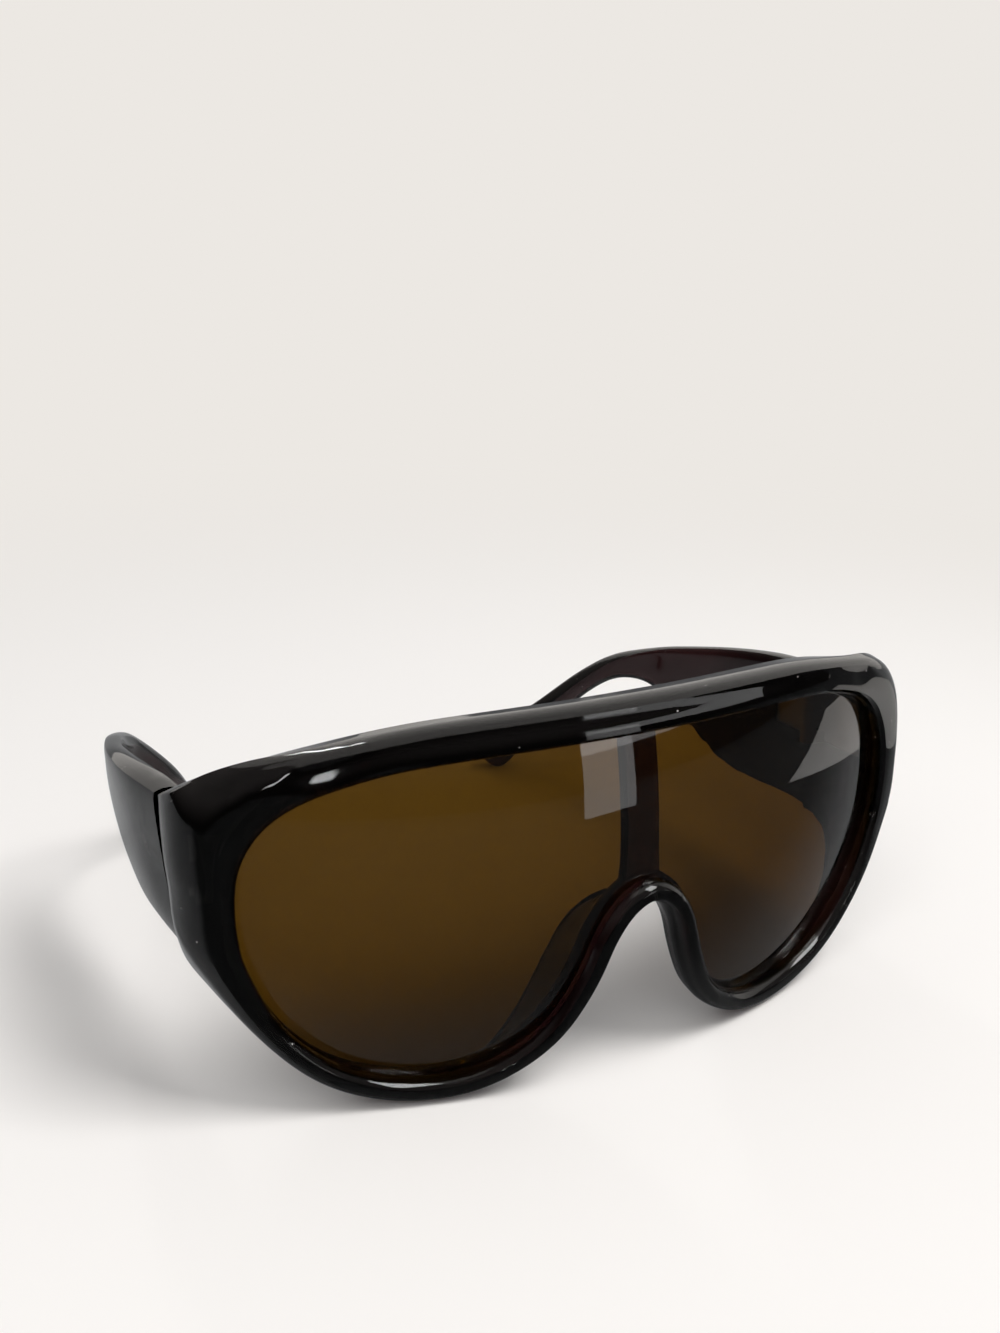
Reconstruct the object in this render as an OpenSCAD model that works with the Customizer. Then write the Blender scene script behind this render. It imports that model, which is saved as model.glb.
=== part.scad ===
// Shield sunglasses: a moulded front with one lens, two bonded nose pads and two folding temples.
// +X is the wearer's left, the lens faces -Y, and z = 0 is the table that the open pair stands on.

/* [Lens opening] */
// Width of the opening that the lens shows through
open_w = 132; // [126:1:138]
// Height of the opening, from the brow to the lobes
open_h = 57.6; // [54:0.2:61]
// Radius of the lens seen from above
wrap_r = 132; // [126:1:140]
// Radius of the lens seen from the side
crown_r = 109; // [100:1:120]

/* [Lens] */
// Thickness of the lens
lens_t = 2; // [1.8:0.1:2.2]
// Depth of the groove that holds the lens
groove_d = 1.7; // [1.2:0.1:2]
// Play of the lens in its groove
lens_gap = 0.1; // [0.08:0.01:0.14]

/* [Rim] */
// Width of the rim under the lobes
rim_w = 4.2; // [3.9:0.1:4.6]
// Width of the rim round the nose opening
nose_rim_w = 4.2; // [3.8:0.1:4.8]
// Height of the brow over the opening
brow_h = 6; // [5.6:0.1:6.8]
// Width of the front face beside the lens
cheek_w = 7.4; // [7:0.1:8.2]
// Width of the front face at its upper corners
corner_w = 11.2; // [10.2:0.1:12]
// Thickness of the rim, from the lens line to its back
rim_t = 5.6; // [5.2:0.1:6.2]
// Thickness of the brow, from the lens line to its back
brow_t = 7.4; // [6.8:0.1:8.2]
// Thickness of the front lip that covers the lens edge
lip_t = 1.1; // [0.9:0.1:1.4]
// How far the rounded bead stands in front of the lip
bead_h = 1.8; // [1.2:0.1:2.2]

/* [End pieces] */
// How far the end pieces stand out beside the lens opening
seam_out = 5.8; // [4.8:0.1:6.8]
// Distance from the widest part of the lens back to the seams
seam_back = 18.3; // [17:0.1:19.6]
// Height of the end pieces at the seams
seam_h = 28.4; // [26:0.2:29.6]
// Drop from the top of the lens opening to the top of the seams
seam_drop = 9.2; // [8:0.2:11]
// Thickness of the end pieces at the seams
end_t = 5.4; // [5:0.1:6]
// How far the foot of a seam is set in
seam_inset = 2.8; // [2:0.1:3.4]

/* [Bar and bridge] */
// Width of the bar behind the lens
bar_w = 7; // [6:0.5:8]
// Thickness of the bar
bar_t = 2; // [1.6:0.1:2.6]
// Gap between the lens and the bar
bar_gap = 0.3; // [0.2:0.05:0.5]

/* [Nose pads] */
// How far the pads stand back from the rim
pad_depth = 6; // [5:0.2:7]
// Thickness of the pads
pad_t = 1.8; // [1.4:0.1:2]
// How far the pads flare away from the nose
pad_flare = 2.6; // [2:0.1:3.2]
// Thickness of the cement between a pad and the rim
cement_t = 0.05; // [0.03:0.01:0.08]

/* [Temples] */
// Reach of the temples behind the seams
temple_reach = 87; // [83:1:91]
// How far the tips curve in
temple_in = 36; // [31:1:38]
// Thickness of a temple past its hinge
temple_t = 3.6; // [3.2:0.1:4]
// Thickness of a temple at its tip
tip_t = 3; // [2.6:0.1:3.4]
// Gap of the seam at its top
seam_gap = 2; // [1.6:0.1:2.3]
// Gap of the seam at its foot
foot_gap = 0.15; // [0.1:0.05:0.3]

/* [Hinges] */
// Number of knuckles in a hinge, every second one on the temple
knuckles = 5; // [3:2:5]
// Height of a hinge
hinge_h = 11; // [10:0.5:12]
// Radius of the knuckles
knuckle_r = 1.5; // [1.4:0.05:1.6]
// Thickness of the hinge plates
plate_t = 1.2; // [1:0.1:1.3]
// Length of the hinge plates
plate_l = 11; // [10:0.5:11.5]
// Length of the feet that hold the plates in the plastic
foot_l = 0.9; // [0.6:0.1:1.2]
// Radius of the hinge screw
screw_r = 0.7; // [0.6:0.05:0.8]
// Radius of the screw's head
head_r = 1.3; // [1.2:0.05:1.4]
// Height of the screw's head
head_h = 0.7; // [0.6:0.1:0.8]
// Play of the temple's knuckles round the screw
screw_play = 0.05; // [0.03:0.01:0.08]
// Play between one knuckle and the next
knuckle_play = 0.08; // [0.06:0.01:0.12]
// Drop from the top of a seam to the middle of its hinge
hinge_drop = 8.6; // [7.6:0.2:9.6]

/* [Hidden] */

function mix(a, b, s) = a + (b - a) * s;
function unit(v) = v / norm(v);
function limit(v) = min(1, max(0, v));

// Stations of the front, from the middle of the brow round one side to the middle of the nose arch.
// Each row is the lens opening's edge, across and down, as shares of half its width and of its height.
open_shares = [
    [0, 0], [0.26, 0.004], [0.41, 0.01], [0.54, 0.02], [0.67, 0.04], [0.81, 0.086], [0.9, 0.14],
    [0.955, 0.205], [0.99, 0.29], [1, 0.39], [0.995, 0.49], [0.975, 0.59], [0.9, 0.77], [0.77, 0.92],
    [0.605, 0.995], [0.425, 0.99], [0.275, 0.885], [0.192, 0.72], [0.146, 0.575], [0.084, 0.476],
    [0, 0.435]];
// How far each station has turned from rim to end piece, 0 on the rim and 1 at the seam
end_shares = [0, 0, 0, 0, 0.03, 0.2, 0.6, 1, 1, 1, 1, 0.96, 0.3, 0.05, 0, 0, 0, 0, 0, 0, 0];
// Height of each station's place on the seam, 0 at its top and 1 at its foot
seam_shares = [0, 0, 0, 0, 0, 0, 0, 0, 0.26, 0.5, 0.74, 1, 1, 1, 1, 1, 1, 1, 1, 1, 1];
// Width of the rim at each station
widths = [brow_h, brow_h, brow_h, brow_h, brow_h, mix(brow_h, corner_w, 0.2), mix(brow_h, corner_w, 0.6),
    corner_w, mix(corner_w, cheek_w, 0.6), cheek_w, cheek_w, mix(cheek_w, rim_w, 0.45),
    rim_w, rim_w, rim_w, rim_w, nose_rim_w, nose_rim_w, nose_rim_w, nose_rim_w, rim_w];
// Thickness of the rim at each station
depths = [brow_t, brow_t, brow_t, brow_t, brow_t, brow_t, brow_t, brow_t, rim_t, rim_t, rim_t, rim_t,
    rim_t, rim_t, rim_t, rim_t, rim_t, rim_t, rim_t, rim_t, rim_t];
// Steps between two stations
steps = 3;

// Smooth curve through a half list that is mirrored at both of its ends, with flip for the mirror
function mirrored(v, flip) = flip ? [-v.x, v.y] : v;
function at(list, i, flip) =
    i < 0 ? mirrored(list[-i], flip)
    : i >= len(list) ? mirrored(list[2 * len(list) - 2 - i], flip)
    : list[i];
function spline(a, b, c, d, t) =
    b + ((c - a) * t + (2 * a - 5 * b + 4 * c - d) * t * t + (3 * b - a - 3 * c + d) * t * t * t) / 2;
function smooth_list(list, flip) = [
    for (i = [0:len(list) - 2], j = [0:steps - 1])
        spline(at(list, i - 1, flip), list[i], list[i + 1], at(list, i + 2, flip), j / steps),
    list[len(list) - 1]];

// The opening's edge, seen from the front, with the heights still counted from under the lobes
open_top = rim_w + open_h;
crown_z = mix(open_top, rim_w, open_shares[len(open_shares) - 1].y);
edge = smooth_list([for (s = open_shares) [s.x * open_w / 2, open_top - s.y * open_h]], true);
end_k = [for (k = smooth_list(end_shares, false)) limit(k)];
seam_k = [for (k = smooth_list(seam_shares, false)) limit(k)];
width_at = smooth_list(widths, false);
depth_at = smooth_list(depths, false);
last = len(edge) - 1;

// Outward direction of the opening's edge, away from the lens
function out_dir(i) = let (
    a = i == 0 ? [-edge[1].x, edge[1].y] : edge[i - 1],
    b = i == last ? [-edge[last - 1].x, edge[last - 1].y] : edge[i + 1],
    t = unit(b - a)) [-t.y, t.x];

// Distance back to a face that lies d behind the lens line, at x and z: a torus with the lens's radii
function ring_r(z, d) = wrap_r - crown_r + sqrt(pow(crown_r - d, 2) - pow(z - crown_z, 2));
function face_y(x, z, d) = wrap_r - sqrt(pow(ring_r(z, d), 2) - x * x);
function on_face(i, n, d) = let (p = edge[i] + n * out_dir(i)) [p.x, face_y(p.x, p.y, d), p.y];

// The same for the rim, which leans back less than the lens does
rim_lean_share = 0.15;
cheek_lean_share = 0.6;
function on_rim(i, n, d) = let (
    p = edge[i] + n * out_dir(i),
    y = face_y(edge[i].x, edge[i].y, 0),
    lean = mix(rim_lean_share, cheek_lean_share, end_k[i]))
    [p.x, mix(y, face_y(p.x, p.y, 0), lean) + d, p.y];

// Point on the outer edge of the seam
seam_x = open_w / 2 + seam_out;
seam_y = face_y(open_w / 2, crown_z, 0) + seam_back;
seam_top = open_top - seam_drop;
function seam_point(s) = [seam_x - seam_inset * s, seam_y, seam_top - seam_h * s];

// Section of the front at one station: the bead in front, the outer side, the back, then the groove
groove_back = lip_t + lens_t + 2 * lens_gap;
valley_share = 0.75;
function section(i) = let (
    w = width_at[i],
    t = depth_at[i],
    k = end_k[i],
    s = seam_point(seam_k[i]),
    side = on_rim(i, w, t * 0.3 + end_t * 0.55 * k),
    outer = mix(on_rim(i, w * 0.86, t * 0.9), s, k),
    inner = mix(on_rim(i, w * 0.55, t), s - [end_t, 0, 0], k),
    bulge = [end_t * 0.1 * k, 0, 0],
    valley = bead_h * valley_share * limit((w - rim_w * 1.19) / (rim_w * 0.48)) * (1 - k))
    [
        on_face(i, 0, 0),
        on_rim(i, rim_w * 0.1, -bead_h * 0.55),
        on_rim(i, rim_w * 0.28, -bead_h * 0.93),
        on_rim(i, mix(rim_w, w, 0.3) * 0.5, -bead_h + valley * 0.4),
        on_rim(i, w * 0.68, -bead_h * 0.95 + valley),
        on_rim(i, w * 0.84, -bead_h * 0.6 + valley * 0.3 + end_t * 0.15 * k),
        on_rim(i, w * 0.96, t * 0.03 + end_t * 0.28 * k),
        side,
        mix(side, outer, 0.34) + bulge,
        mix(side, outer, 0.67) + bulge,
        outer,
        inner,
        mix(inner, on_rim(i, w * 0.25, t), 0.5),
        on_rim(i, w * 0.12, t),
        on_face(i, -groove_d * 0.2, mix(groove_back, rim_t, 0.8)),
        on_face(i, -groove_d * 0.4, mix(groove_back, rim_t, 0.35)),
        on_face(i, -groove_d * 0.35, groove_back),
        on_face(i, groove_d, groove_back),
        on_face(i, groove_d, lip_t),
        on_face(i, 0, lip_t)
    ];
half_rings = [for (i = [0:last]) section(i)];
rings = [
    for (i = [0:last]) half_rings[i],
    for (i = [last - 1:-1:1]) [for (p = half_rings[i]) [-p.x, p.y, p.z]]];

// Skins: rings joined into a closed loop, and rings with a flat cap at each end
module closed_sweep(rings) {
    n = len(rings);
    m = len(rings[0]);
    polyhedron(
        points = [for (r = rings) each r],
        faces = [for (i = [0:n - 1], j = [0:m - 1])
            let (a = i * m + j, b = i * m + (j + 1) % m, up = ((i + 1) % n) * m)
            [a, b, up + (j + 1) % m, up + j]]);
}
module open_sweep(rings) {
    n = len(rings);
    m = len(rings[0]);
    polyhedron(
        points = [for (r = rings) each r],
        faces = [
            [for (j = [m - 1:-1:0]) j],
            [for (j = [0:m - 1]) (n - 1) * m + j],
            for (i = [0:n - 2], j = [0:m - 1]) let (a = i * m + j, b = i * m + (j + 1) % m)
                [a, b, b + m, a + m]]);
}
module right_side() mirror([1, 0, 0]) children();

// Bar behind the lens, from the brow to the nose arch, wider at its foot
bar_shares = [0, 0.04, 0.09, 0.16, 0.25, 0.4, 0.55, 0.7, 0.85, 1];
bar_foot_shares = [1, 0.66, 0.36, 0.12, 0, 0, 0, 0, 0, 0];
bar_flare_share = 0.15;
bar_front = groove_back + bar_gap - lens_gap;
bar_z0 = edge[last].y - groove_d;
bar_z1 = open_top + groove_d;
function bar_ring(i) = let (
    z = mix(bar_z0, bar_z1, bar_shares[i]),
    w = bar_w / 2 * (1 + bar_flare_share * bar_foot_shares[i]),
    e = bar_t / 4)
    [for (q = [[-w, e], [e - w, 0], [w - e, 0], [w, e], [w, bar_t - e], [w - e, bar_t],
        [e - w, bar_t], [-w, bar_t - e]])
        [q.x, face_y(q.x, z, bar_front) + q.y, z]];
module bar() open_sweep([for (i = [len(bar_shares) - 1:-1:0]) bar_ring(i)]);

// Temple: two rails of its outer face, each row inward, back and down as shares of the sizes above
top_shares = [[-0.012, 0, 0], [-0.034, 0.158, 0.022], [0.006, 0.314, 0.06], [0.085, 0.463, 0.108],
    [0.197, 0.601, 0.158], [0.361, 0.709, 0.218], [0.528, 0.778, 0.316], [0.722, 0.846, 0.46],
    [0.844, 0.916, 0.58], [0.967, 0.978, 0.725]];
low_shares = [[0.078, 0, 0.538], [0.087, 0.158, 0.55], [0.109, 0.301, 0.545], [0.131, 0.457, 0.446],
    [0.183, 0.606, 0.325], [0.287, 0.719, 0.312], [0.417, 0.793, 0.382], [0.567, 0.862, 0.525],
    [0.667, 0.922, 0.65], [0.8, 0.991, 0.82]];
// Steps between two rows
temple_steps = 4;
// How far the wall keeps the end piece's thickness, then how fast it thins, there and towards the tip
hold_share = 0.1;
thin_share = 0.2;
tail_share = 0.5;
function rail(rows, gap) = [for (r = rows) [seam_x - temple_in * r.x,
    seam_y + gap + (temple_reach - gap) * r.y, seam_top * (1 - r.z)]];
function curve(list) = let (n = len(list) - 1) [
    for (i = [0:n - 1], j = [0:temple_steps - 1]) let (
        a = i == 0 ? 2 * list[0] - list[1] : list[i - 1])
        spline(a, list[i], list[i + 1], list[min(n, i + 2)], j / temple_steps),
    list[n]];
top_rail = curve(rail(top_shares, seam_gap));
low_rail = curve(rail(low_shares, foot_gap));
temple_end = len(top_rail) - 1;
function temple_path(i) = i == 0 ? [0, 1, 0] : let (a = max(0, i - 1), b = min(temple_end, i + 1))
    unit(top_rail[b] + low_rail[b] - top_rail[a] - low_rail[a]);
function temple_ring(i, t, push, pinch) = let (
    v = low_rail[i] - top_rail[i],
    down = unit(v),
    in = i == 0 ? [-1, 0, 0] : unit(cross(temple_path(i), down)),
    mid = (top_rail[i] + low_rail[i]) / 2 + push * temple_path(i),
    h = norm(v) / 2 * pinch,
    e = t * 0.32 * pinch,
    q = t * (1 - pinch) / 2,
    crown = t * 0.06)
    [for (p = [[e - h, q], [0, q - crown], [h - e, q], [h - e * 0.3, q + e * 0.3], [h, q + e],
        [h, t - q - e], [h - e * 0.3, t - q - e * 0.3], [h - e, t - q], [0, t - q], [e - h, t - q],
        [e * 0.3 - h, t - q - e * 0.3], [-h, t - q - e], [-h, q + e], [e * 0.3 - h, q + e * 0.3]])
        mid + p.x * down + p.y * in];
function temple_thick(i) = let (u = i / temple_end)
    mix(mix(end_t, temple_t, limit((u - hold_share) / thin_share)),
        tip_t, limit((u - tail_share) / (1 - tail_share)));
temple_rings = [
    temple_ring(temple_end, tip_t, tip_t * 0.85, 0.5),
    temple_ring(temple_end, tip_t, tip_t * 0.5, 0.85),
    for (i = [temple_end:-1:0]) temple_ring(i, temple_thick(i), 0, 1)];

// The pair leans back until its lobes and its tips stand on the table together.
// The lean is found by halving a range of angles, then the box is centred over the origin.
function height(p, lean) = p.z * cos(lean) - p.y * sin(lean);
function depth(p, lean) = p.y * cos(lean) + p.z * sin(lean);
function lowest(rings, lean) = min([for (r = rings, p = r) height(p, lean)]);
function settled(a, b, halvings) = let (c = (a + b) / 2)
    halvings == 0 ? c
    : lowest(temple_rings, c) > lowest(rings, c) ? settled(c, b, halvings - 1)
    : settled(a, c, halvings - 1);
table_lean = settled(-20, 20, 24);
front_y = min([for (r = rings, p = r) depth(p, table_lean)]);
temple_y = max([for (r = temple_rings, p = r) depth(p, table_lean)]);
module place() translate([0, -(front_y + temple_y) / 2, -lowest(rings, table_lean)])
    rotate([-table_lean, 0, 0])
        children();

// Hinge axis, inboard of the end piece's inner face at the seam
knuckle_gap = 0.35;
plate_sink = 0.5;
web_gap = 0.15;
hold_gap = 0.04;
relief_gap = 0.15;
overrun = 1;
hinge_z = seam_top - hinge_drop;
hinge_h0 = hinge_z - hinge_h / 2;
hinge_s = hinge_drop / seam_h;
hinge_x = seam_point(hinge_s).x - end_t - knuckle_r - knuckle_gap;
plate_x = seam_point((hinge_drop - hinge_h / 2) / seam_h).x - end_t + plate_sink;
web_l = plate_x + plate_t - hinge_x;
pitch = hinge_h / knuckles;
knuckle_h = pitch - knuckle_play;
module on_axis(h) translate([hinge_x, seam_y, hinge_h0 + h]) children();
module knuckle(i) on_axis(i * pitch + knuckle_play / 2) children();

// A plate that lies in the plastic, with an oval foot and a round one that hold it there
foot_place_share = 0.85;
oval_place_share = 0.21;
oval_share = 0.28;
oval_width_share = 0.46;
button_place_share = -0.36;
button_share = 0.13;
function plate_y(side) = side > 0 ? seam_y + seam_gap : seam_y - web_gap - plate_l;
module foot(side, g, place_share, height_share, width_share) translate([
    plate_x + plate_t - hold_gap,
    plate_y(side) + plate_l * (side > 0 ? foot_place_share : 1 - foot_place_share),
    hinge_z + hinge_h * place_share])
    scale([1, width_share, 1])
        rotate([0, 90, 0])
            cylinder(h = foot_l + hold_gap + g, r = hinge_h * height_share + g, $fn = 40);
module feet(side, g) {
    foot(side, g, oval_place_share, oval_share, oval_width_share);
    foot(side, g, button_place_share, button_share, 1);
}
function web_w(side) = knuckle_r - web_gap + (side > 0 ? max(0, seam_gap + plate_t / 2 - knuckle_r) : 0);
module leaf(first, side) {
    difference() {
        for (i = [first:2:knuckles - 1])
            knuckle(i) {
                cylinder(h = knuckle_h, r = knuckle_r, $fn = 40);
                translate([0, side > 0 ? web_gap : -knuckle_r, 0])
                    cube([web_l, web_w(side), knuckle_h]);
            }
        on_axis(-overrun) cylinder(h = hinge_h + 2 * overrun, r = screw_r + screw_play, $fn = 40);
    }
    translate([plate_x, plate_y(side), hinge_h0]) cube([plate_t, plate_l, hinge_h]);
    feet(side, 0);
}
// Room in the plastic for a leaf, open to the inside and to the seam, and for the knuckles to turn
module pocket(side) {
    y0 = side > 0 ? seam_y - overrun : plate_y(side) - hold_gap;
    y1 = side > 0 ? plate_y(side) + plate_l + hold_gap : seam_y + overrun;
    translate([hinge_x, y0, hinge_h0 - hold_gap])
        cube([web_l + hold_gap, y1 - y0, hinge_h + 2 * hold_gap]);
    feet(side, hold_gap);
    on_axis(-relief_gap)
        cylinder(h = hinge_h + head_h + 3 * relief_gap, r = knuckle_r + relief_gap, $fn = 40);
}
// The screw: its head rests on the top knuckle, with a slot for the driver
slot_w = 0.35;
slot_d = 0.3;
module screw() difference() {
    on_axis(knuckle_play / 2) {
        translate([0, 0, hinge_h - knuckle_play]) cylinder(h = head_h, r = head_r, $fn = 40);
        cylinder(h = hinge_h - knuckle_play + head_h / 2, r = screw_r, $fn = 40);
    }
    on_axis(hinge_h - knuckle_play / 2 + head_h - slot_d)
        translate([-head_r - overrun, -slot_w / 2, 0])
            cube([2 * (head_r + overrun), slot_w, slot_d + overrun]);
}

// Lens: a shell with the two radii, cut to the opening's edge plus its hold in the groove
lens_front = lip_t + lens_gap;
lens_half = [for (i = [0:last]) edge[i] + (groove_d - lens_gap) * out_dir(i)];
module lens_blank(d0, d1) {
    translate([0, wrap_r, crown_z]) rotate([0, 0, 180])
        rotate_extrude(angle = 180, $fn = 180)
            intersection() {
                difference() {
                    translate([wrap_r - crown_r, 0]) circle(crown_r - d0, $fn = 180);
                    translate([wrap_r - crown_r, 0]) circle(crown_r - d1, $fn = 180);
                }
                translate([wrap_r / 2, -open_h]) square([wrap_r, 2 * open_h]);
            }
}
module lens_outline() polygon([
    for (p = lens_half) p,
    for (i = [last - 1:-1:1]) [-lens_half[i].x, lens_half[i].y]]);

// Nose pad: a wing that stands back from the rim along one side of the nose
pad_first = 15 * steps + 1;
pad_last = 19 * steps;
pad_skew_share = 1.15;
pad_round_share = 0.6;
pad_fall_share = 0.35;
pad_end_share = 0.12;
function pad_reach(i) = let (u = (i - pad_first) / (pad_last - pad_first))
    max(pad_end_share,
        pow(sin(180 * pow(u, pad_skew_share)), pad_round_share) * (1 - pad_fall_share * u));
function pad_ring(i) = let (
    a = pad_reach(i),
    d0 = depth_at[i] + cement_t,
    d1 = d0 + pad_depth * a,
    n0 = width_at[i] * 0.55,
    n1 = n0 - pad_flare * a)
    [on_rim(i, n0, d0),
     on_rim(i, mix(n0, n1, 0.4), mix(d0, d1, 0.35)),
     on_rim(i, mix(n0, n1, 0.75), mix(d0, d1, 0.7)),
     on_rim(i, n1, mix(d0, d1, 0.93)),
     on_rim(i, n1 - pad_t * 0.3, d1),
     on_rim(i, n1 - pad_t * 0.75, mix(d0, d1, 0.97)),
     on_rim(i, n1 - pad_t * 0.9, mix(d0, d1, 0.85)),
     on_rim(i, mix(n0, n1, 0.6) - pad_t * 0.95, mix(d0, d1, 0.5)),
     on_rim(i, n0 - pad_t, d0)];
module pad() open_sweep([for (i = [pad_first:pad_last]) pad_ring(i)]);
module temple() difference() {
    open_sweep(temple_rings);
    pocket(1);
}

module front_frame() color("#2a1a1e") place() difference() {
    union() {
        closed_sweep(rings);
        bar();
    }
    pocket(-1);
    right_side() pocket(-1);
}
module shield_lens() color("#5a4020") place() intersection() {
    lens_blank(lens_front, lens_front + lens_t);
    translate([0, wrap_r / 2, 0]) rotate([90, 0, 0]) linear_extrude(wrap_r) lens_outline();
}
module nose_pad_left() color("#3a2c30") place() pad();
module nose_pad_right() color("#3a2c30") place() right_side() pad();
module temple_left() color("#2a1a1e") place() temple();
module temple_right() color("#2a1a1e") place() right_side() temple();
module hinge_front_left() color("#8d8a86") place() leaf(0, -1);
module hinge_front_right() color("#8d8a86") place() right_side() leaf(0, -1);
module hinge_temple_left() color("#8d8a86") place() leaf(1, 1);
module hinge_temple_right() color("#8d8a86") place() right_side() leaf(1, 1);
module hinge_screw_left() color("#77736f") place() screw();
module hinge_screw_right() color("#77736f") place() right_side() screw();

front_frame();
shield_lens();
nose_pad_left();
nose_pad_right();
temple_left();
temple_right();
hinge_front_left();
hinge_front_right();
hinge_temple_left();
hinge_temple_right();
hinge_screw_left();
hinge_screw_right();
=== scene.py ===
import math

import bmesh
import bpy
from mathutils import Matrix, Vector


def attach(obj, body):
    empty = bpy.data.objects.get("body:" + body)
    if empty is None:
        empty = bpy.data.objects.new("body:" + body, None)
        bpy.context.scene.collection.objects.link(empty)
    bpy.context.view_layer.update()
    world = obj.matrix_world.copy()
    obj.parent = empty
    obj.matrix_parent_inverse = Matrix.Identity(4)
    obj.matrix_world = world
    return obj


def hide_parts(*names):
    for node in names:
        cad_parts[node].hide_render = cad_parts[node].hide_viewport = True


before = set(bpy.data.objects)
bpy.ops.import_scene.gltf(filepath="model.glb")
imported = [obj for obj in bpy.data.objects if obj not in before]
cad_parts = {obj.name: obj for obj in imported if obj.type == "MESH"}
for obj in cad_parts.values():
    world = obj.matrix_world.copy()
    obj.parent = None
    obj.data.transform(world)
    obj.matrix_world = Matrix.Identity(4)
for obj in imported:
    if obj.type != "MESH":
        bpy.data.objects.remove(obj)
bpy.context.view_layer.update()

# Camera: a phone held a little above the table, on the wearer's right of the lens.
# Its place was solved from the outline of the lens and temples, in the frame of the upright lens.
# The glasses lean back by 4.155 degrees as they stand, so the camera leans and moves with them.
lean = math.radians(-4.155)
lean_shift = (0.0, -0.0618090, 0.0010443)
phone_place = (-0.14132, -0.18991, 0.14795)
phone_back = (-0.4823, -0.8222, 0.3024)
phone_heading = math.radians(-30.4)
phone_roll = math.radians(1.1)
film_height = 36.0
focal_pixels = 1556.0
photo_rows = 1333.0
nearest_seen = 0.01
back = Vector(phone_back).normalized()
right = Vector((math.cos(phone_heading), math.sin(phone_heading), 0.0))
up = back.cross(right)
tilted = Matrix((math.cos(phone_roll) * right + math.sin(phone_roll) * up,
                 math.cos(phone_roll) * up - math.sin(phone_roll) * right,
                 back))
stand = Matrix.Translation(lean_shift) @ Matrix.Rotation(lean, 4, "X")
camera = bpy.data.objects.new("camera", bpy.data.cameras.new("camera"))
camera.data.sensor_fit = "VERTICAL"
camera.data.sensor_height = film_height
camera.data.lens = film_height * focal_pixels / photo_rows
camera.data.clip_start = nearest_seen
camera.matrix_world = stand @ Matrix.Translation(phone_place) @ tilted.transposed().to_4x4()
bpy.context.scene.collection.objects.link(camera)
bpy.context.scene.camera = camera

# Front: one injection moulding in very dark plum propionate, polished by tumbling.
# It holds the brow, the bead round the lens, both end pieces, the nose arch and the bar.
# Light that gets through a thin edge comes out red-brown, and everything thicker looks black.
weld_distance = 0.000002
flat_bend = math.radians(35)
square_bend = math.radians(50)
sharp_bend = 38
first_crease_bend = 20.0
crease_span = 36.0
polish_levels = 2
ripple_height = 0.00005


def linear(code):
    parts = [int(code[i:i + 2], 16) / 255 for i in (1, 3, 5)]
    return [c / 12.92 if c <= 0.04045 else ((c + 0.055) / 1.055) ** 2.4 for c in parts] + [1.0]


def empty_material(name):
    material = bpy.data.materials.new(name)
    material.use_nodes = True
    material.node_tree.nodes.clear()
    return material


def add_node(material, kind, settings=(), links=()):
    node = material.node_tree.nodes.new(kind)
    for name, value in dict(settings).items():
        if isinstance(name, int) or name in node.inputs:
            node.inputs[name].default_value = value
        else:
            setattr(node, name, value)
    for name, source in dict(links).items():
        material.node_tree.links.new(source, node.inputs[name])
    return node


def object_place(material):
    return add_node(material, "ShaderNodeTexCoord").outputs["Object"]


def dye_through(material, surface, colour, density):
    depth = add_node(material, "ShaderNodeVolumeAbsorption",
                     {"Color": linear(colour), "Density": density})
    add_node(material, "ShaderNodeOutputMaterial", {},
             {"Surface": surface.outputs[0], "Volume": depth.outputs[0]})


def finish_with(obj, material):
    obj.data.materials.clear()
    obj.data.materials.append(material)


def smooth_copy(node, name):
    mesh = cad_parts[node].data.copy()
    piece = bpy.data.objects.new(name, mesh)
    bpy.context.scene.collection.objects.link(piece)
    work = bmesh.new()
    work.from_mesh(mesh)
    bmesh.ops.remove_doubles(work, verts=work.verts, dist=weld_distance)
    bmesh.ops.join_triangles(work, faces=work.faces, angle_face_threshold=flat_bend,
                             angle_shape_threshold=square_bend)
    layers = work.edges.layers.float
    crease = layers.get("crease_edge") or layers.new("crease_edge")
    for face in work.faces:
        face.smooth = True
    for edge in work.edges:
        bend = math.degrees(edge.calc_face_angle()) if len(edge.link_faces) == 2 else 0.0
        soft_crease = max(0.0, (bend - first_crease_bend) / crease_span)
        edge[crease] = 1.0 if bend > sharp_bend else soft_crease
        edge.smooth = bend <= sharp_bend
    work.to_mesh(mesh)
    work.free()
    soften = piece.modifiers.new("polish", "SUBSURF")
    soften.levels = soften.render_levels = polish_levels
    return piece


plum = empty_material("plum_propionate_polished")
place = object_place(plum)
smears = add_node(plum, "ShaderNodeTexNoise", {"Scale": 140.0, "Detail": 4.0}, {"Vector": place})
gloss = add_node(plum, "ShaderNodeMapRange",
                 {"From Min": 0.45, "From Max": 0.75, "To Min": 0.02, "To Max": 0.09},
                 {"Value": smears.outputs["Fac"]})
waves = add_node(plum, "ShaderNodeTexNoise", {"Scale": 220.0, "Detail": 1.0}, {"Vector": place})
ripple = add_node(plum, "ShaderNodeBump", {"Strength": 0.12, "Distance": ripple_height},
                  {"Height": waves.outputs["Fac"]})
specks = add_node(plum, "ShaderNodeTexVoronoi", {"Scale": 380.0}, {"Vector": place})
rare = add_node(plum, "ShaderNodeSeparateColor", {}, {0: specks.outputs["Color"]})
few = add_node(plum, "ShaderNodeMath", {"operation": "GREATER_THAN", 1: 0.72},
               {0: rare.outputs[0]})
dot = add_node(plum, "ShaderNodeMapRange",
               {"From Min": 0.035, "From Max": 0.055, "To Min": 1.0, "To Max": 0.0},
               {"Value": specks.outputs["Distance"]})
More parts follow.
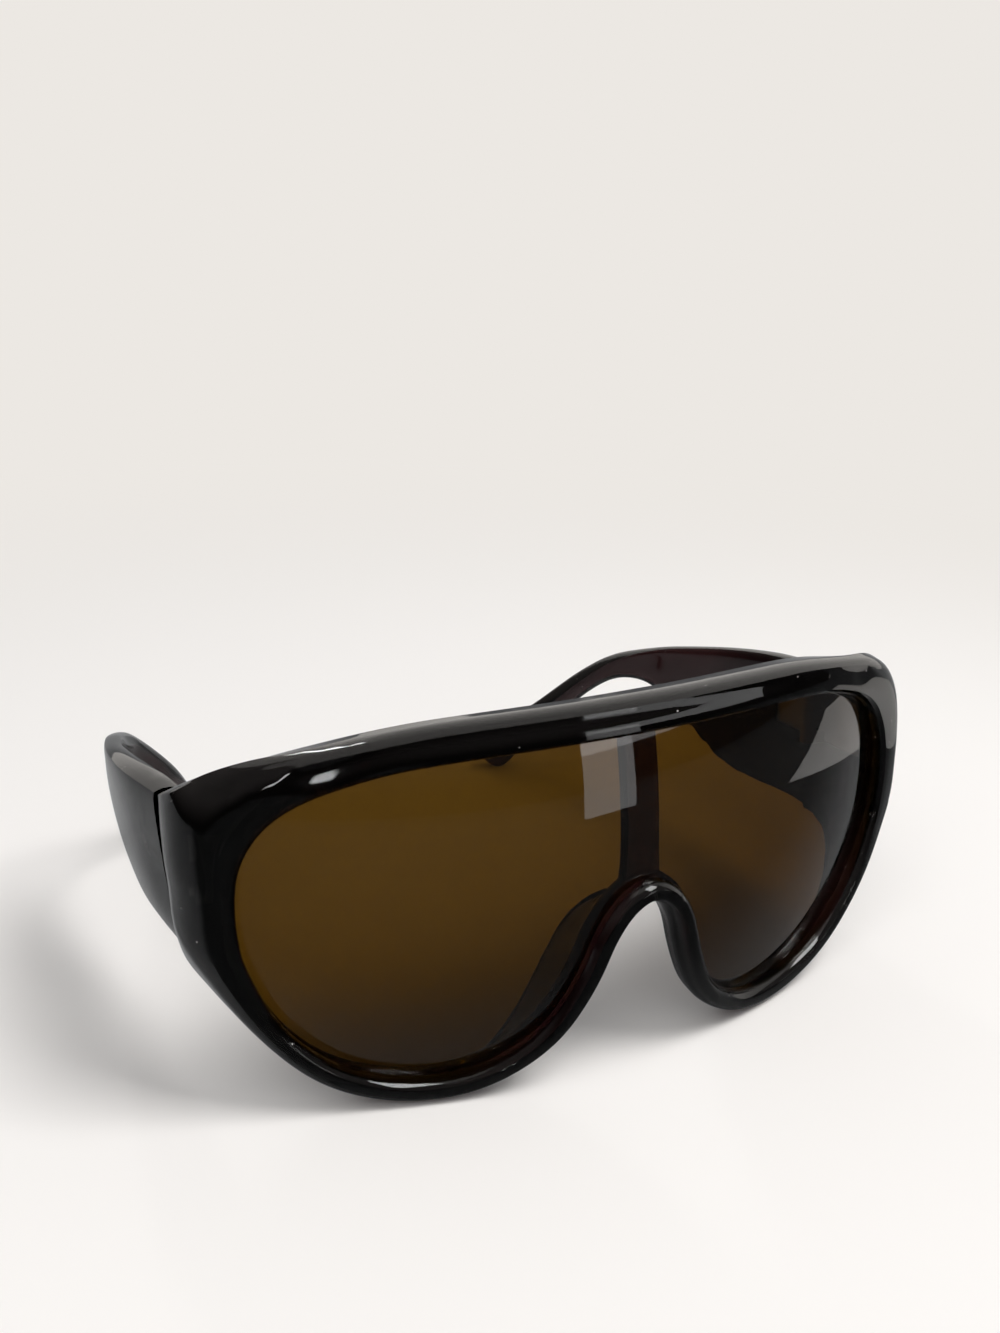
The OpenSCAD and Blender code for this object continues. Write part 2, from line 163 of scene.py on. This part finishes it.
dust = add_node(plum, "ShaderNodeMath", {"operation": "MULTIPLY"},
                {0: few.outputs[0], 1: dot.outputs[0]})
clear = add_node(plum, "ShaderNodeMath", {"operation": "SUBTRACT", 0: 1.0}, {1: dust.outputs[0]})
surface = add_node(plum, "ShaderNodeBsdfPrincipled",
                   {"Base Color": linear("#f4ecea"), "IOR": 1.48},
                   {"Roughness": gloss.outputs[0], "Normal": ripple.outputs[0],
                    "Transmission Weight": clear.outputs[0]})
dye_through(plum, surface, "#8a4a51", 1400.0)

front = smooth_copy("front_frame", "front_moulding")
finish_with(front, plum)
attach(front, "front")
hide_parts("front_frame")

# Lens: one 2 mm shield of dyed polycarbonate, dark amber, polished and hard coated.
# It is pressed into the groove of the front, and the room behind it shows through, brown and dim.
# Its faint wiped film blurs the gloss here and there.
amber = empty_material("amber_polycarbonate")
wiped = add_node(amber, "ShaderNodeMapping",
                 {"Scale": (60.0, 60.0, 25.0), "Rotation": (0.0, 0.5, 0.0)},
                 {"Vector": object_place(amber)})
film = add_node(amber, "ShaderNodeTexNoise", {"Scale": 1.0, "Detail": 5.0},
                {"Vector": wiped.outputs[0]})
gloss = add_node(amber, "ShaderNodeMapRange",
                 {"From Min": 0.5, "From Max": 0.8, "To Min": 0.0, "To Max": 0.05},
                 {"Value": film.outputs["Fac"]})
surface = add_node(amber, "ShaderNodeBsdfPrincipled",
                   {"Base Color": linear("#ffffff"), "IOR": 1.58, "Transmission Weight": 1.0},
                   {"Roughness": gloss.outputs[0]})
dye_through(amber, surface, "#c2ac1d", 2600.0)
finish_with(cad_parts["shield_lens"], amber)

# Nose pads: two thin wings of smoke-grey plastic, moulded apart and cemented beside the nose.
# They are thinner than the rim and half matt, so some of the table shows through them, blurred.
smoke = empty_material("smoke_propionate")
surface = add_node(smoke, "ShaderNodeBsdfPrincipled",
                   {"Base Color": linear("#ffffff"), "Roughness": 0.18, "IOR": 1.48,
                    "Transmission Weight": 1.0})
dye_through(smoke, surface, "#8d8784", 950.0)
for side in ("left", "right"):
    pad = smooth_copy("nose_pad_" + side, "nose_wing_" + side)
    finish_with(pad, smoke)
    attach(pad, "front")
    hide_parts("nose_pad_" + side)

# Temples: the same plum plastic as the front, tall at the hinge and bent down behind the ear.
# Each carries one leaf of its hinge in a pocket and folds in behind the lens.
for side in ("left", "right"):
    temple = smooth_copy("temple_" + side, "temple_arm_" + side)
    finish_with(temple, plum)
    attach(temple, side + "_temple")
    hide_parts("temple_" + side)

# Hinges: stamped nickel-silver leaves with feet that are sunk into the warm plastic, and a screw.
# The brushed plates face the wearer and show from behind, and the dark plastic hides their feet.
scratch_height = 0.00005
nickel = empty_material("nickel_silver_stamped")
stretch = add_node(nickel, "ShaderNodeMapping", {"Scale": (900.0, 900.0, 9000.0)},
                   {"Vector": object_place(nickel)})
grain = add_node(nickel, "ShaderNodeTexNoise", {"Scale": 1.0, "Detail": 4.0},
                 {"Vector": stretch.outputs[0]})
rough = add_node(nickel, "ShaderNodeMapRange", {"To Min": 0.22, "To Max": 0.42},
                 {"Value": grain.outputs["Fac"]})
scratch = add_node(nickel, "ShaderNodeBump", {"Strength": 0.15, "Distance": scratch_height},
                   {"Height": grain.outputs["Fac"]})
surface = add_node(nickel, "ShaderNodeBsdfPrincipled",
                   {"Base Color": linear("#c9c3b6"), "Metallic": 1.0},
                   {"Roughness": rough.outputs[0], "Normal": scratch.outputs[0]})
add_node(nickel, "ShaderNodeOutputMaterial", {}, {"Surface": surface.outputs[0]})
for side in ("left", "right"):
    for leaf in ("hinge_front_", "hinge_temple_", "hinge_screw_"):
        finish_with(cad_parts[leaf + side], nickel)

# Table: plain and pale, and it fades into the backdrop far behind the glasses.
# It is matt, so that it keeps the soft shadow of the frame.
table_half = 3.0
table_mesh = bpy.data.meshes.new("table")
sheet = bmesh.new()
bmesh.ops.create_grid(sheet, x_segments=1, y_segments=1, size=table_half)
sheet.to_mesh(table_mesh)
sheet.free()
table = bpy.data.objects.new("table", table_mesh)
bpy.context.scene.collection.objects.link(table)
paper = empty_material("pale_table")
matt = add_node(paper, "ShaderNodeBsdfDiffuse", {"Color": linear("#f6f2ee")})
far_glow = add_node(paper, "ShaderNodeEmission", {"Color": linear("#ece8e3"), "Strength": 1.0})
from_lens = add_node(paper, "ShaderNodeMapping", {"Location": (0.0, 0.05, 0.0)},
                     {"Vector": object_place(paper)})
reach = add_node(paper, "ShaderNodeVectorMath", {"operation": "LENGTH"}, {0: from_lens.outputs[0]})
fade = add_node(paper, "ShaderNodeMapRange",
                {"interpolation_type": "SMOOTHSTEP", "From Min": 0.15, "From Max": 0.42},
                {"Value": reach.outputs["Value"]})
both = add_node(paper, "ShaderNodeMixShader", {},
                {0: fade.outputs[0], 1: matt.outputs[0], 2: far_glow.outputs[0]})
add_node(paper, "ShaderNodeOutputMaterial", {}, {"Surface": both.outputs[0]})
finish_with(table, paper)

# Room: the pale backdrop, which the plastic mirrors and the lens lets through.
# It throws a dimmer light on everything else.
world = bpy.data.worlds.new("room")
bpy.context.scene.world = world
world.use_nodes = True
world.node_tree.nodes.clear()
path = add_node(world, "ShaderNodeLightPath")
shiny = add_node(world, "ShaderNodeMath", {"operation": "MAXIMUM"},
                 {0: path.outputs["Is Glossy Ray"], 1: path.outputs["Is Transmission Ray"]})
shown = add_node(world, "ShaderNodeMath", {"operation": "MAXIMUM"},
                 {0: path.outputs["Is Camera Ray"], 1: shiny.outputs[0]})
sky = add_node(world, "ShaderNodeBackground", {"Color": linear("#ece8e3"), "Strength": 1.0})
room = add_node(world, "ShaderNodeBackground", {"Color": linear("#e9ebee"), "Strength": 0.41})
seen = add_node(world, "ShaderNodeMixShader", {},
                {0: shown.outputs[0], 1: room.outputs[0], 2: sky.outputs[0]})
add_node(world, "ShaderNodeOutputWorld", {}, {"Surface": seen.outputs[0]})


# Lights: a soft box high on the right, a fill on the left that the gloss doesn't mirror,
# and two small windows, which give the glints on the brow and the bead.
# The pale cards low in front light no matt surface, and are there for the strip on the lens
# and the streak along the brow.
def lamp(name, place, target, width, height, glow):
    light = bpy.data.objects.new(name, bpy.data.lights.new(name, "AREA"))
    light.data.shape = "RECTANGLE"
    light.data.size = width
    light.data.size_y = height
    light.data.energy = glow * math.pi * width * height
    light.location = place
    light.rotation_euler = (Vector(target) - Vector(place)).to_track_quat("-Z", "Y").to_euler()
    light.visible_camera = False
    bpy.context.scene.collection.objects.link(light)
    return light


lamp("soft_box_high", place=(0.40, -0.45, 1.10), target=(0.0, 0.0, 0.0),
     width=0.55, height=0.55, glow=9.7)
fill = lamp("fill_left", place=(-0.40, -0.50, 0.95), target=(0.0, 0.0, 0.0),
            width=0.8, height=0.8, glow=1.8)
fill.visible_glossy = False
lamp("window_behind", place=(0.16, 1.0, 0.75), target=(0.0, 0.0, 0.03),
     width=0.05, height=0.33, glow=13.0)
lamp("window_in_front", place=(-0.46, -0.89, 0.20), target=(0.0, 0.0, 0.05),
     width=0.06, height=0.09, glow=9.0)
low_card = lamp("card_right_low", place=(0.159, -0.39, 0.060), target=(0.159, 0.0, 0.060),
                width=0.082, height=0.120, glow=1.4)
wide_card = lamp("card_right_wide", place=(0.31, -0.39, 0.118), target=(0.16, 0.0, 0.118),
                 width=0.36, height=0.05, glow=1.4)
low_card.visible_diffuse = wide_card.visible_diffuse = False


# Dark flags, seen by the gloss alone, which paint dim reflections: a sheet over the table, painted
# dark in front and grey behind, with a gap that leaves one pale patch in the lens, and a dim
# glowing screen round the front and left. They stand in for a dim room there, so the lens and the
# brow mirror dim surfaces.
def flag(name, shape, reflection_paint):
    screen = bpy.data.objects.new(name, bpy.data.meshes.new(name))
    shape.to_mesh(screen.data)
    shape.free()
    bpy.context.scene.collection.objects.link(screen)
    screen.visible_camera = screen.visible_diffuse = screen.visible_shadow = False
    screen.visible_transmission = screen.visible_volume_scatter = False
    finish_with(screen, reflection_paint)


flag_half = 1.2
flag_squares = 60
flag_lift = 0.0004
gap_left, gap_right = 0.2, 0.46
gap_front, gap_back = -0.13, 0.01
# Painted reflection: a sheet that only the gloss sees, painted dark in front and grey behind.
painted_reflection_sheet = empty_material("painted_reflection_table_sheet")
axes = add_node(painted_reflection_sheet, "ShaderNodeSeparateXYZ", {}, {0: object_place(painted_reflection_sheet)})
shade = add_node(painted_reflection_sheet, "ShaderNodeMapRange",
                 {"interpolation_type": "SMOOTHSTEP", "From Min": -0.09, "From Max": -0.01,
                  "To Min": 0.08, "To Max": 0.36},
                 {"Value": axes.outputs["Y"]})
grey = add_node(painted_reflection_sheet, "ShaderNodeBsdfDiffuse", {}, {"Color": shade.outputs[0]})
add_node(painted_reflection_sheet, "ShaderNodeOutputMaterial", {}, {"Surface": grey.outputs[0]})
sheet = bmesh.new()
bmesh.ops.create_grid(sheet, x_segments=flag_squares, y_segments=flag_squares, size=flag_half)
bmesh.ops.translate(sheet, vec=(0.0, 0.0, flag_lift), verts=sheet.verts)
gap = [square for square in sheet.faces
       if gap_left < square.calc_center_median().x < gap_right
       and gap_front < square.calc_center_median().y < gap_back]
bmesh.ops.delete(sheet, geom=gap, context="FACES")
flag("table_flag", sheet, painted_reflection_sheet)

screen_radius = 1.2
screen_height = 2.4
screen_start = math.radians(75)
screen_turn = math.radians(-240)
screen_steps = 40
# Painted reflection: a dimly glowing screen that only the gloss sees, brighter higher up.
painted_reflection_screen = empty_material("painted_reflection_screen_glow")
axes = add_node(painted_reflection_screen, "ShaderNodeSeparateXYZ", {}, {0: object_place(painted_reflection_screen)})
strength = add_node(painted_reflection_screen, "ShaderNodeMapRange",
                    {"From Min": 0.1, "From Max": 0.6, "To Min": 0.03, "To Max": 0.24},
                    {"Value": axes.outputs["Z"]})
dim = add_node(painted_reflection_screen, "ShaderNodeEmission", {"Color": linear("#fff4f0")},
               {"Strength": strength.outputs[0]})
add_node(painted_reflection_screen, "ShaderNodeOutputMaterial", {}, {"Surface": dim.outputs[0]})
wall = bmesh.new()
foot = wall.verts.new((screen_radius * math.sin(screen_start),
                       -screen_radius * math.cos(screen_start), 0.0))
top = wall.verts.new((foot.co.x, foot.co.y, screen_height))
wall.edges.new((foot, top))
bmesh.ops.spin(wall, geom=wall.verts[:] + wall.edges[:], cent=(0.0, 0.0, 0.0),
               axis=(0.0, 0.0, 1.0), angle=screen_turn, steps=screen_steps)
flag("room_flag", wall, painted_reflection_screen)

for view_layer in bpy.context.scene.view_layers:
    view_layer.update()
bpy.context.scene.view_settings.view_transform = "Standard"
